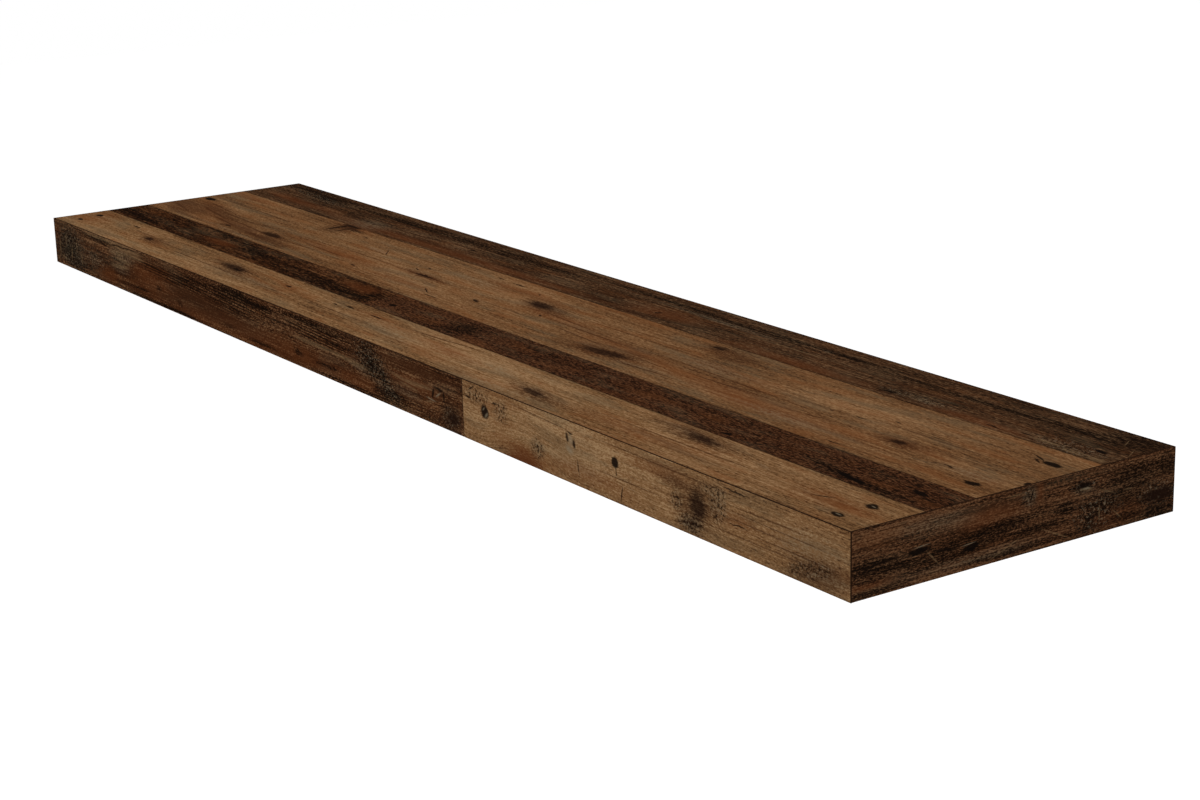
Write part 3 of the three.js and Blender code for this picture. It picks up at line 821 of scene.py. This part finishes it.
underPlan = {
    "speckle": (3.4, 0.8, 2.0, 0.72),
    "boards": [
        {
            "from": 0, "seed": 61.3, "heart": 40, "rings": 0.06, "flecks": 0.15,
            "grain": (0.55, 0.4, 0.8, 1.2), "wash": 0.35, "fineness": 1.0,
            "wood": [paint(60, 38, 22), paint(98, 67, 41), paint(110, 78, 50), paint(134, 101, 69)],
        },
        {
            "from": 74, "seed": 68.8, "heart": 92, "rings": 0.08, "flecks": 0.5,
            "grain": (0.6, 0.6, 0.7, 1.8), "wash": 0.1, "fineness": 0.6,
            "wood": [paint(22, 14, 10), paint(52, 34, 22), paint(72, 48, 30), paint(104, 78, 54)],
        },
        {
            "from": 74, "to": 120, "joint": 600, "lean": 0.0,
            "seed": 74.1, "heart": 100, "rings": 0.05, "flecks": 0.6,
            "grain": (0.5, 0.4, 0.5, 2.4), "wash": 0.1, "fineness": 0.5,
            "wood": [paint(22, 13, 8), paint(52, 31, 18), paint(72, 44, 26), paint(100, 70, 45)],
        },
        {
            "from": 120, "seed": 83.5, "heart": 186, "rings": 0.06, "flecks": 0.15,
            "grain": (0.55, 0.4, 0.8, 1.2), "wash": 0.35, "fineness": 1.0,
            "wood": [paint(66, 43, 25), paint(104, 73, 46), paint(116, 85, 56), paint(140, 109, 77)],
        },
    ],
    "marks": {
        "knot": [
            (150, 38, 26, 9, 4), (470, 160, 30, 9, -4), (830, 205, 22, 7, 3), (905, 40, 20, 8, 0),
            (300, 100, 18, 6, 0),
        ],
        "halo": [
            (150, 38, 50, 18, 4), (470, 160, 56, 18, -4), (830, 205, 44, 14, 3), (905, 40, 40, 16, 0),
        ],
        "nail": [
            (16, 20, 9, 5, 5), (20, 55, 9, 5, 8), (1080, 24, 10, 5, 0), (1076, 60, 9, 5, 5),
            (18, 140, 9, 5, 0), (1078, 225, 9, 5, 0),
        ],
        "crack": [
            (640, 30, 18, 2, 8), (260, 190, 20, 2, -6), (720, 150, 14, 2.4, 12), (560, 215, 16, 2, 4),
        ],
        "streak": [
            (420, 45, 200, 2, 1), (700, 180, 220, 2, -1), (200, 205, 180, 1.6, 1),
            (950, 170, 180, 1.8, 1),
        ],
        "shade": [
            (90, 96, 150, 24, 0), (720, 100, 120, 20, 4), (1060, 100, 70, 34, 0), (430, 92, 90, 16, 0),
        ],
        "red": [(300, 50, 160, 16, 2), (620, 200, 180, 20, 0), (980, 60, 120, 16, 0)],
        "grey": [(540, 30, 120, 18, 2), (360, 220, 140, 18, 0), (880, 140, 90, 14, 0)],
    },
}
underFinish = printedSkin("oldWoodUnder", underPlan, "bottom_panel", -1)
nodes["bottom_panel"].data.materials.clear()
nodes["bottom_panel"].data.materials.append(underFinish)
print("underside made")


# The inside of the board: sizes in millimetres, and the relief in metres

particleboardLook = {
    "bend": (4, 1.5),
    "chips": (0.3, 0.45, 0.7),  # to a millimetre, along each axis
    "fibre": (5, 0.6, 3.0),
    "chipShare": 0.6,
    "fibreShare": 0.5,
    "places": (0.2, 0.45, 0.65, 0.9),
    "colours": (paint(140, 108, 72), paint(188, 156, 112), paint(206, 178, 136), paint(226, 204, 166)),
    "glue": paint(96, 66, 40),
    "glueWidth": 0.05,
    "glueStrength": 0.6,
    "glueDepth": 0.5,
    "roughness": 0.85,
    "relief": 0.0002,
    "gloss": 0.2,
}


def particleboard():
    look = particleboardLook
    material, finish = newFinish("particleboard")
    x, y, z = finish.place()
    point = finish.wobble(finish.point(x, y, z), *look["bend"])
    cells = {"Vector": finish.vector("MULTIPLY", point, look["chips"]), "Scale": 1.0}
    chip = finish.node("TexVoronoi", {}, cells, output="Color")
    shade = finish.node("SeparateColor", {}, {"Color": chip})
    gap = finish.node("TexVoronoi", {"feature": "DISTANCE_TO_EDGE"}, cells)
    fibre = finish.noise(point, *look["fibre"])
    tone = shade * look["chipShare"] + fibre * look["fibreShare"]
    colour = finish.ramp(tone, look["places"], look["colours"])
    glue = finish.smooth(gap, look["glueWidth"], 0.0)
    colour = finish.mix(glue * look["glueStrength"], colour, look["glue"])
    finish.surface(look, colour, look["roughness"], tone - glue * look["glueDepth"])
    return material


pineLook = {
    "slant": 0.03,  # how fast the grain changes with height
    "streak": (120, 5, 3.0),
    "fibre": (20, 0.8),
    "wander": (90, 30),
    "wanderReach": 12,
    "ringPitch": 5.5,
    "ringLean": 0.4,
    "ringRise": (0.3, 0.9),
    "ringFall": (1.0, 0.92),
    "streakShare": 0.9,
    "fibreShare": 0.6,
    "ringShare": 0.3,
    "middle": 0.5,
    "places": (0.15, 0.4, 0.62, 0.88),
    "colours": (paint(170, 122, 72), paint(206, 164, 108), paint(226, 190, 138), paint(240, 214, 170)),
    "roughness": 0.7,
    "relief": 0.00015,
    "gloss": 0.25,
}


def pine():
    look = pineLook
    material, finish = newFinish("pine")
    x, y, z = finish.place()
    point = finish.point(y, x, z * look["slant"])
    streak = finish.swing(point, *look["streak"])
    fibre = finish.swing(point, *look["fibre"])
    wander = finish.swing(point, *look["wander"]) * look["wanderReach"]
    phase = finish.math("FRACT", (x + z * look["ringLean"] + wander) / look["ringPitch"])
    ring = finish.smooth(phase, *look["ringRise"]) * finish.smooth(phase, *look["ringFall"])
    late = ring * look["ringShare"]  # the dark wood that ends each ring
    tone = look["middle"] + streak * look["streakShare"] + fibre * look["fibreShare"] - late
    colour = finish.ramp(tone, look["places"], look["colours"])
    finish.surface(look, colour, look["roughness"], fibre - late)
    return material


paperLook = {
    "pulp": (1.4, 0.5, 4.0, 0.7),
    "cloud": (22, 14),
    "pulpShare": 0.6,
    "cloudShare": 0.4,
    "places": (0.3, 0.5, 0.7),
    "colours": (paint(138, 104, 70), paint(170, 134, 96), paint(196, 162, 122)),
    "roughness": 0.9,
    "relief": 0.00008,
    "gloss": 0.15,
}


def honeycombPaper():
    look = paperLook
    material, finish = newFinish("honeycombPaper")
    x, y, z = finish.place()
    point = finish.point(x + y, z)
    pulp = finish.noise(point, *look["pulp"])
    cloud = finish.noise(point, *look["cloud"])
    tone = pulp * look["pulpShare"] + cloud * look["cloudShare"]
    colour = finish.ramp(tone, look["places"], look["colours"])
    finish.surface(look, colour, look["roughness"], pulp)
    return material


# Bracket and hardware: their clouds add to the roughness

coatLook = {
    "peel": {"Scale": 1.3, "Detail": 2.0},
    "cloud": {"Scale": 0.03, "Detail": 2.0},
    "peelShare": 0.3,
    "cloudShare": 0.7,
    "places": (0.35, 0.5, 0.65),
    "colours": (paint(30, 30, 32), paint(40, 40, 43), paint(54, 54, 57)),
    "roughness": 0.38,
    "cloudRoughness": 0.16,
    "relief": 0.00012,
    "gloss": 0.5,
}


def powderCoat():
    look = coatLook
    material, finish = newFinish("powderCoat")
    point = finish.point(*finish.place())
    peel = finish.node("TexNoise", {}, {"Vector": point, **look["peel"]})
    cloud = finish.node("TexNoise", {}, {"Vector": point, **look["cloud"]})
    tone = cloud * look["cloudShare"] + peel * look["peelShare"]
    colour = finish.ramp(tone, look["places"], look["colours"])
    finish.surface(look, colour, look["roughness"] + cloud * look["cloudRoughness"], peel)
    return material


brassLook = {
    "cloud": (6, 4, 3.0),
    "grooves": 26,  # radians of their wave to a millimetre
    "places": (0.3, 0.5, 0.7),
    "colours": (paint(176, 140, 72), paint(204, 168, 96), paint(220, 188, 120)),
    "roughness": 0.24,
    "cloudRoughness": 0.16,
    "relief": 0.00002,
    "gloss": 0.5,
}


def turnedBrass():
    # grooves around each nut's own middle
    look = brassLook
    material, finish = newFinish("turnedBrass")
    x, y, z = finish.place()
    nutLow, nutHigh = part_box("insert_nut_right")
    nutMiddle = (nutLow + nutHigh) / 2 / mm
    aside = finish.math("ABSOLUTE", x) - nutMiddle.x
    ahead = y - nutMiddle.y
    radius = finish.math("SQRT", aside * aside + ahead * ahead)
    groove = finish.math("SINE", radius * look["grooves"])
    cloud = finish.noise(finish.point(x, y, z), *look["cloud"])
    colour = finish.ramp(cloud, look["places"], look["colours"])
    roughness = look["roughness"] + cloud * look["cloudRoughness"]
    finish.surface(look, colour, roughness, groove, metallic=1.0)
    return material


zincLook = {
    "cloud": (3, 3, 3.0),
    "fine": (0.5, 0.5),
    "places": (0.35, 0.5, 0.65),
    "colours": (paint(158, 162, 168), paint(184, 188, 192), paint(206, 206, 202)),
    "roughness": 0.26,
    "cloudRoughness": 0.2,
    "relief": 0.00002,
    "gloss": 0.5,
}


def zincSteel():
    look = zincLook
    material, finish = newFinish("zincSteel")
    point = finish.point(*finish.place())
    cloud = finish.noise(point, *look["cloud"])
    fine = finish.noise(point, *look["fine"])
    colour = finish.ramp(cloud, look["places"], look["colours"])
    roughness = look["roughness"] + cloud * look["cloudRoughness"]
    finish.surface(look, colour, roughness, fine, metallic=1.0)
    return material


innerFinishes = {
    # each finish and how the names of its nodes start
    particleboard: ("front_rail", "left_stile", "right_stile", "rear_rail"),
    pine: ("rod_block",),
    honeycombPaper: ("honeycomb",),
    powderCoat: ("wall_rail", "support_rod"),
    turnedBrass: ("insert_nut",),
    zincSteel: ("locking_screw",),
}
for makeFinish, starts in innerFinishes.items():
    innerFinish = makeFinish()
    for nodeName, node in nodes.items():
        if nodeName.startswith(starts):
            node.data.materials.clear()
            node.data.materials.append(innerFinish)
print("inner pieces and hardware finished")


# Camera, lights and the pale floor

camera = {
    "place": (1.4705, -1.0180, 0.4341),  # metres
    "turn": (74.1955, 1.5067, 55.7435),  # degrees
    "lens": 72.08,  # millimetres
    "farEnd": 50,  # metres
}
cameraData = bpy.data.cameras.new("camera")
cameraData.lens = camera["lens"]
cameraData.clip_end = camera["farEnd"]
cameraObject = bpy.data.objects.new("camera", cameraData)
cameraObject.location = camera["place"]
cameraObject.rotation_euler = [math.radians(angle) for angle in camera["turn"]]
bpy.context.scene.collection.objects.link(cameraObject)
bpy.context.scene.camera = cameraObject

lamps = {
    # place, size across in metres, power in watts
    "overhead": ((-0.6, -1.2, 3.2), 2.6, 57),
    "frontLeft": ((-1.6, -3.2, 1.4), 2.2, 13),
    "right": ((3.4, -1.0, 1.0), 2.0, 15),
}
for lampName, (place, across, power) in lamps.items():
    lampData = bpy.data.lights.new(lampName, "AREA")
    lampData.size = across
    lampData.energy = power
    lamp = bpy.data.objects.new(lampName, lampData)
    lamp.location = place
    lamp.rotation_euler = (-Vector(place)).to_track_quat("-Z", "Y").to_euler()
    bpy.context.scene.collection.objects.link(lamp)


def seenDirectly(finish):
    # 1 where the camera, a reflection or glass looks, 0 where the surface only gives light
    path = finish.node("LightPath", {}, {}, output="Is Camera Ray")
    glossy = Value(finish, path.socket.node.outputs["Is Glossy Ray"])
    through = Value(finish, path.socket.node.outputs["Is Transmission Ray"])
    return finish.math("MINIMUM", path + glossy + through, 1.0)


# how bright the surroundings are as a light, and as they are seen
backdrop = {"light": 0.55, "seen": 1.0, "colour": (1.0, 1.0, 1.0, 1.0)}
world = bpy.data.worlds.new("studio")
bpy.context.scene.world = world
world.use_nodes = True
sky = Finish(world.node_tree)
strength = backdrop["light"] + seenDirectly(sky) * (backdrop["seen"] - backdrop["light"])
glow = sky.node("Background", {}, {"Color": backdrop["colour"], "Strength": strength})
sky.node("OutputWorld", {}, {"Surface": glow})

# metres, and how much the floor glows where it is seen
floorPlan = {"height": -1.4, "reach": 12.0, "glow": 0.53, "colour": (0.86, 0.86, 0.86, 1.0)}
floorMesh = bpy.data.meshes.new("floor")
reach = floorPlan["reach"]
corners = [(-reach, -reach), (reach, -reach), (reach, reach), (-reach, reach)]
floorMesh.from_pydata([(x, y, floorPlan["height"]) for x, y in corners], [], [(0, 1, 2, 3)])
floor = bpy.data.objects.new("floor", floorMesh)
bpy.context.scene.collection.objects.link(floor)
paleFloor, paper = newFinish("paleFloor")
matte = paper.node("BsdfDiffuse", {}, {"Color": floorPlan["colour"]})
lit = paper.node("Emission", {}, {"Strength": seenDirectly(paper) * floorPlan["glow"]})
both = paper.node("AddShader", {}, {0: matte, 1: lit})
paper.node("OutputMaterial", {}, {"Surface": both})
floor.data.materials.append(paleFloor)
bpy.context.scene.view_settings.view_transform = "Standard"
print("camera, lights and floor set")
